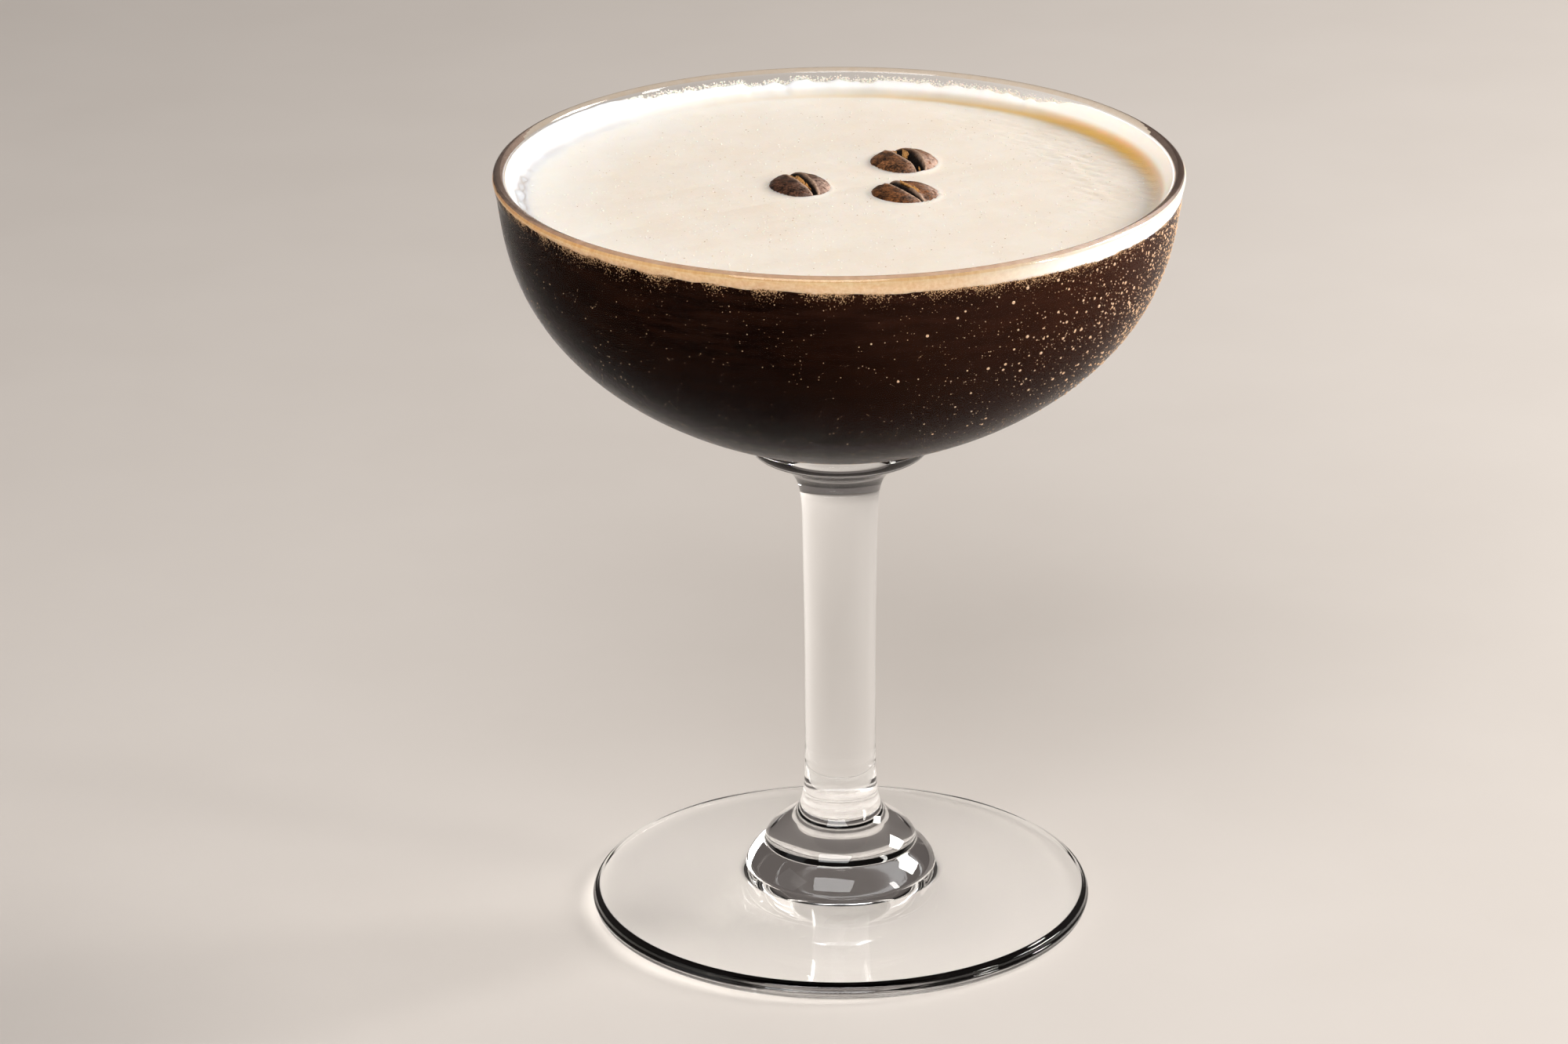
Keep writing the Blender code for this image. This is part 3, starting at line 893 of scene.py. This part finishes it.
def bean_surface(bean, rings, sides, seed):
    """Points of a bean lying along X with its seam up, and masks of its seam, the seam's
    lips and the painted highlight beside the seam and on the right lobe."""
    polar = np.linspace(0.0, math.pi, rings + 2)[1:-1]
    angles = np.linspace(-1.0, 1.0, sides, endpoint=False)
    angles = math.pi * np.sign(angles) * np.abs(angles) ** 1.4
    along = np.repeat(np.cos(polar)[:, None], sides, axis=1)
    ring = np.repeat(np.sin(polar)[:, None], sides, axis=1)
    angle = np.repeat(angles[None, :], rings, axis=0)
    across = ring * np.sin(angle) * bean["width"] / 2
    lift = ring * np.cos(angle)
    height = np.where(lift > 0, crown_at(along, across, bean), lift * BEAN_DRAUGHT)
    flat = np.stack([along * bean["length"] / 2, across, np.zeros_like(across)], axis=2).reshape(-1, 3)
    sway = (layered(flat, 1.6 * MM, seed + 9) * 0.16 * MM).reshape(along.shape)
    off = across - seam_centre(along, bean) + sway
    half = bean["half"] * (0.45 + 0.55 * ring) * (1 + 0.25 * along)
    steep = np.where(off > 0, 7.0, 3.5)
    top = smoothstep(0.0, 0.25, ring) * (lift > 0)
    trench = np.exp(-(np.abs(off) / half) ** steep) * top
    lips = np.exp(-((np.abs(off) - half * 1.25) / (0.16 * MM)) ** 2) * top
    height = height - bean["deep"] * trench * (0.1 + 0.9 * ring) + 0.09 * MM * lips
    points = np.stack([along * bean["length"] / 2, across, height], axis=2).reshape(-1, 3)
    outward = points / (np.linalg.norm(points, axis=1, keepdims=True) + 1e-9)
    dents = layered(points * (0.6, 1.0, 1.0), 1.5 * MM, seed) * 0.16 * MM
    wrinkles = layered(points * (0.5, 1.0, 1.0), 0.42 * MM, seed + 4, 2) * 0.05 * MM
    points = points + outward * (dents + wrinkles * (1 + 2 * trench.reshape(-1)))[:, None]
    # Painted highlight: lighter skin beside the seam towards the front, and on the right lobe, which faces
    # the key light.
    near_seam = np.exp(-np.clip(np.abs(off) - half, 0.0, None) / (0.55 * MM))
    right_side = smoothstep(0.25, 0.9, -across / (bean["width"] / 2)) * smoothstep(0.5, -0.5, along)
    painted_highlight = np.clip(near_seam * smoothstep(0.7, -0.9, along) + right_side, 0.0, 1.0) * top
    # The seam mask marks the trench, which is painted near-black as shade.
    masks = {"seam": np.clip(1.7 * trench, 0.0, 1.0), "lips": lips, "painted_highlight": painted_highlight}
    return points, {name: values.reshape(-1) for name, values in masks.items()}


def bean_to_world(points, bean):
    """Move points from a bean's own place to its place on the foam."""
    turn = Matrix.Rotation(math.radians(bean["turn"]), 3, "Z")
    return np.asarray(points) @ np.asarray(turn).T + (bean["x"], bean["y"], FOAM_LEVEL)


def make_bean(bean, seed):
    """One bean, its seam a trench with raised lips. Its rings run along its length, against
    the way a turned piece's run, so its faces are turned over."""
    points, masks = bean_surface(bean, BEAN_RINGS, BEAN_SIDES, seed)
    ends = np.array([(bean["length"] / 2, 0.0, 0.0), (-bean["length"] / 2, 0.0, 0.0)])
    verts = bean_to_world(np.vstack([points, ends]), bean)
    faces = [face[::-1] for face in capped_faces(BEAN_RINGS, BEAN_SIDES)]
    finish = bean_finish(bean["name"] + "_skin", bean["roast"])
    made = new_object(bean["name"] + "_roasted", verts, faces, [finish])
    for name, values in masks.items():
        add_mask(made, name, np.append(values, (0.0, 0.0)))
    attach(made, "root")
    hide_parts(bean["name"])


def chaff_strip(bean, strip, seed):
    """Points and faces of one torn strip of dry skin in or beside a bean's seam."""
    start, end, place, half, depth = strip
    steps, lanes = max(12, int(70 * (end - start))), 7
    along = np.linspace(start, end, steps)
    spots = np.stack([along * bean["length"] / 2, np.zeros(steps), np.zeros(steps)], axis=1)
    ends = np.sqrt(np.clip(np.sin(np.linspace(0.0, math.pi, steps)), 0.02, 1.0))
    width = half * MM * ends * (0.8 + 0.5 * layered(spots, 0.8 * MM, seed))
    centre = seam_centre(along, bean) + place * MM + layered(spots, 1.5 * MM, seed + 3) * 0.10 * MM
    rows = []
    for lane in np.linspace(-1.0, 1.0, lanes):
        lumps = layered(spots + lane * 0.5 * MM, 0.5 * MM, seed + 5) * 0.09 * MM
        ridge = (0.06 + 0.7 * half) * MM * (1 - lane ** 2) + lumps
        across = centre + lane * width
        height = crown_at(along, across, bean) - depth * MM + ridge
        rows.append(np.stack([spots[:, 0], across, height], axis=1))
    top = np.stack(rows, axis=1).reshape(-1, 3)
    verts = np.vstack([top, top - (0.0, 0.0, 0.35 * MM)])
    count = steps * lanes
    faces = []
    for step in range(steps - 1):
        for lane in range(lanes - 1):
            corner = step * lanes + lane
            after = corner + lanes
            faces.append((corner, corner + 1, after + 1, after))
            faces.append((corner + count, after + count, after + 1 + count, corner + 1 + count))
    rim = [step * lanes for step in range(steps)]
    rim += [(steps - 1) * lanes + lane for lane in range(1, lanes)]
    rim += [step * lanes + lanes - 1 for step in range(steps - 2, -1, -1)]
    rim += [lane for lane in range(lanes - 2, 0, -1)]
    for corner, after in zip(rim, rim[1:] + rim[:1]):
        faces.append((corner, after, after + count, corner + count))
    return verts, [face[::-1] for face in faces]


def make_chaff(bean, finish, seed):
    """The dry skin left in a bean's seam."""
    all_verts, all_faces, used = [], [], 0
    for index, strip in enumerate(bean["chaff"]):
        verts, faces = chaff_strip(bean, strip, seed + 10 * index)
        all_verts.append(bean_to_world(verts, bean))
        all_faces += [tuple(corner + used for corner in face) for face in faces]
        used += len(verts)
    made = new_object(bean["name"] + "_chaff", np.vstack(all_verts), all_faces, [finish])
    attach(made, "root")


def dome(sides, rings):
    """A unit half ball, open underneath where it sits on a surface, as (points, faces)."""
    points = [(0.0, 0.0, 1.0)]
    for ring in range(1, rings + 1):
        tilt = math.pi / 2 * ring / rings
        for side in range(sides):
            turn = math.tau * side / sides
            points.append((math.sin(tilt) * math.cos(turn), math.sin(tilt) * math.sin(turn), math.cos(tilt)))
    faces = [(0, 1 + side, 1 + (side + 1) % sides) for side in range(sides)]
    for ring in range(rings - 1):
        low = 1 + ring * sides
        for side in range(sides):
            after = (side + 1) % sides
            faces.append((low + side, low + sides + side, low + sides + after, low + after))
    return np.array(points), faces


def scatter(name, shape, places, normals, width, height, finish):
    """One joined mesh of many small copies, each as wide and high as told along its normal."""
    points, faces = shape
    up = normals / np.linalg.norm(normals, axis=1, keepdims=True)
    helper = np.where(np.abs(up[:, 2:]) < 0.9, (0.0, 0.0, 1.0), (1.0, 0.0, 0.0))
    side = np.cross(helper, up)
    side /= np.linalg.norm(side, axis=1, keepdims=True)
    other = np.cross(up, side)
    verts = (places[:, None, :]
             + side[:, None, :] * (points[None, :, 0:1] * width[:, None, None])
             + other[:, None, :] * (points[None, :, 1:2] * width[:, None, None])
             + up[:, None, :] * (points[None, :, 2:3] * height[:, None, None]))
    all_faces = [tuple(corner + index * len(points) for corner in face)
                 for index in range(len(places)) for face in faces]
    made = new_object(name, verts.reshape(-1, 3), all_faces, [finish])
    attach(made, "root")


def bowl_spots(draw, count, low, high):
    """Random places on the outside of the bowl, even by area, with their outward normals."""
    heights = np.linspace(low, high, 400)
    radii = bowl_radius(BOWL_RADIUS, BOWL_DEPTH, heights)
    slope = np.gradient(radii, heights)
    share = np.cumsum(radii * np.sqrt(1 + slope ** 2))
    share /= share[-1]
    picked = draw.random(count)
    height = np.interp(picked, share, heights)
    radius = bowl_radius(BOWL_RADIUS, BOWL_DEPTH, height)
    lean = np.interp(picked, share, slope)
    turn = draw.random(count) * math.tau
    return around(radius, turn, height), around(1.0, turn, -lean), turn


def make_dew(finish):
    """Beads of condensation on the bowl, densest at the upper right and by the lower edge."""
    draw = np.random.default_rng(SEED)
    tried, most = DEW
    places, normals, turn = bowl_spots(draw, tried, 69.6 * MM, 103.6 * MM)
    height = places[:, 2]
    # The beads gather on the upper right, where the key light falls, so that their painted glints crowd
    # there.
    right = near_turn(turn, -8.0, 42.0) * smoothstep(74 * MM, 92 * MM, height)
    low = bump(70.2 * MM, 1.2 * MM, height)
    clumps = 0.75 + 0.6 * layered(places, 3.5 * MM, SEED + 30)
    share = np.clip(0.10 + 0.36 * right + 0.5 * low, 0, 1) * clumps
    kept = np.flatnonzero(draw.random(len(places)) < share)[:most]
    width = 0.05 * MM + 0.09 * MM * draw.random(len(kept)) ** 2
    width = width * (0.55 + 0.45 * right[kept])
    scatter("bowl_dew", dome(5, 2), places[kept], normals[kept], width, width * 0.6,
            finish)


def make_drops(finish):
    """Fewer, larger drops among the dew."""
    draw = np.random.default_rng(SEED + 1)
    tried, most = DROPS
    places, normals, turn = bowl_spots(draw, tried, 70.5 * MM, 103.0 * MM)
    # Drops gather on the upper right, where the key light falls, for painted glints.
    right = near_turn(turn, -8.0, 34.0) * smoothstep(74 * MM, 94 * MM, places[:, 2])
    kept = np.flatnonzero(draw.random(len(places)) < 0.002 + 0.75 * right)[:most]
    width = 0.10 * MM + 0.16 * MM * draw.random(len(kept)) ** 2
    scatter("bowl_drops", dome(7, 3), places[kept], normals[kept], width, width * 0.5,
            finish)


def make_froth(finish):
    """Tiny bubbles along the froth's upper edge on the inside of the wall."""
    draw = np.random.default_rng(SEED + 2)
    tried, most = FROTH
    turn = draw.random(tried) * math.tau
    turn = turn[draw.random(tried) < 0.05 + bare_share(turn)][:most]
    count = len(turn)
    above = draw.normal(0.0, 0.30 * MM, count) * bare_share(turn)
    height = np.minimum(band_high(turn) + above, RIM_HEIGHT - 0.95 * MM)
    places = around(bowl_radius(HOLLOW_RADIUS, HOLLOW_DEPTH, height), turn, height)
    width = 0.05 * MM + 0.10 * MM * draw.random(count) ** 2
    scatter("wall_froth", dome(7, 2), places, around(-1.0, turn, np.zeros(count)), width, width * 0.8,
            finish)


def make_fringe(finish):
    """Bubbles clinging to the wall in the coffee, thinning out under the foam band."""
    draw = np.random.default_rng(SEED + 5)
    tried, most = FRINGE
    turn = draw.random(tried) * math.tau
    clumps = np.clip(layered(wall_spots(turn), 2.5 * MM, SEED + 60) * 1.4 + 0.45, 0.02, 1.0)
    # Painted shade: the dark bubbles are set thickest on the shaded front left.
    shaded = 0.35 + 0.65 * near_turn(turn, -135.0, 75.0)
    turn = turn[draw.random(tried) < clumps * shaded][:most]
    count = len(turn)
    depth = draw.exponential(0.55 * MM, count)
    height = band_low(turn) + 0.1 * MM - depth
    places = around(bowl_radius(HOLLOW_RADIUS, HOLLOW_DEPTH, height) - 0.01 * MM, turn, height)
    width = (0.05 * MM + 0.09 * MM * draw.random(count) ** 2) * np.exp(-depth / (2.5 * MM))
    scatter("foam_fringe", dome(7, 2), places, around(1.0, turn, np.zeros(count)), width,
            np.full(count, 0.09 * MM), finish)


def foam_spots(draw, count, reach):
    """Random places on the flat foam that aren't on a bean, with their upward normals."""
    radius = reach * np.sqrt(draw.random(count))
    turn = draw.random(count) * math.tau
    x, y = radius * np.cos(turn), radius * np.sin(turn)
    clear = np.ones(count, bool)
    for bean in BEANS:
        clear &= bean_gap(x, y, bean) > 0.25 * MM
    radius, turn = radius[clear], turn[clear]
    height = foam_top(radius[None, :], turn[None, :], np.full((1, len(radius)), FILLET_TOP))[0]
    return around(radius, turn, height), np.tile((0.0, 0.0, 1.0), (len(radius), 1))


def make_bubbles(finish):
    """Fine open bubbles on the foam."""
    draw = np.random.default_rng(SEED + 3)
    places, normals = foam_spots(draw, BUBBLES, 41.0 * MM)
    width = 0.05 * MM + 0.10 * MM * draw.random(len(places)) ** 3
    scatter("foam_bubbles", dome(8, 2), places, normals, width, width * 0.6, finish)


def make_specks(finish):
    """Coffee dust carried up by the foam."""
    draw = np.random.default_rng(SEED + 4)
    places, normals = foam_spots(draw, SPECKS, 38.0 * MM)
    width = 0.04 * MM + 0.07 * MM * draw.random(len(places)) ** 2
    scatter("coffee_specks", dome(6, 2), places, normals, width, width * 0.35, finish)


def make_floor():
    """Plain pale ground, a hair under the foot."""
    reach, drop = 3.0, -0.05 * MM
    corners = [(-reach, -reach, drop), (reach, -reach, drop), (reach, reach, drop), (-reach, reach, drop)]
    made, tree, output, place = new_material("pale_floor")
    tone = mix_colour(tree, noise(tree, place, 25.0, 4.0), *FLOOR_TONES)
    surface(tree, output, {"Base Color": tone, "Roughness": 0.7})
    floor = new_object("floor", corners, [(0, 1, 2, 3)], [made])


def add_softbox(name, place, size, power, colour):
    """A rectangular area light at a place, facing the bowl."""
    light = bpy.data.lights.new(name, "AREA")
    light.shape = "RECTANGLE"
    light.size, light.size_y = size
    light.energy = power
    light.color = colour
    made = bpy.data.objects.new(name, light)
    made.rotation_euler = (Vector(LIGHTS_AIM) - Vector(place)).to_track_quat("-Z", "Y").to_euler()
    made.location = place
    bpy.context.scene.collection.objects.link(made)


def add_lights():
    """The soft studio lights and a dim room."""
    for light in LIGHTS:
        add_softbox(*light)
    world = bpy.data.worlds.new("room")
    world.use_nodes = True
    world.node_tree.nodes["Background"].inputs["Color"].default_value = (*ROOM_LIGHT, 1.0)
    bpy.context.scene.world = world


def add_camera():
    """The photo's view: a long lens, looking slightly down."""
    lens = bpy.data.cameras.new("camera")
    lens.sensor_fit = "HORIZONTAL"
    lens.sensor_width = 36.0
    lens.lens = CAMERA_LENS
    lens.clip_start = 0.01
    made = bpy.data.objects.new("camera", lens)
    ahead = np.array([math.sin(CAMERA_YAW) * math.cos(CAMERA_PITCH),
                      math.cos(CAMERA_YAW) * math.cos(CAMERA_PITCH), -math.sin(CAMERA_PITCH)])
    right = np.array([math.cos(CAMERA_YAW), -math.sin(CAMERA_YAW), 0.0])
    up = np.cross(right, ahead)
    tilted_right = right * math.cos(CAMERA_ROLL) + up * math.sin(CAMERA_ROLL)
    tilted_up = up * math.cos(CAMERA_ROLL) - right * math.sin(CAMERA_ROLL)
    pose = Matrix.Identity(4)
    for row in range(3):
        pose[row][0] = tilted_right[row]
        pose[row][1] = tilted_up[row]
        pose[row][2] = -ahead[row]
        pose[row][3] = CAMERA_PLACE[row]
    made.matrix_world = pose
    bpy.context.scene.collection.objects.link(made)
    bpy.context.scene.camera = made


def main():
    """Build the scene."""
    add_camera()
    add_lights()
    make_floor()
    make_glass()
    make_coffee()
    make_foam(foam_finish())
    froth = bubble_finish()
    make_froth(froth)
    make_fringe(fringe_finish())
    make_bubbles(froth)
    make_specks(speck_finish())
    beads = frost_beads()
    make_dew(beads)
    make_drops(beads)
    chaff = chaff_finish()
    for index, bean in enumerate(BEANS):
        make_bean(bean, SEED + 40 + index)
        make_chaff(bean, chaff, SEED + 50 + index)
    bpy.context.scene.view_settings.view_transform = "Standard"


main()
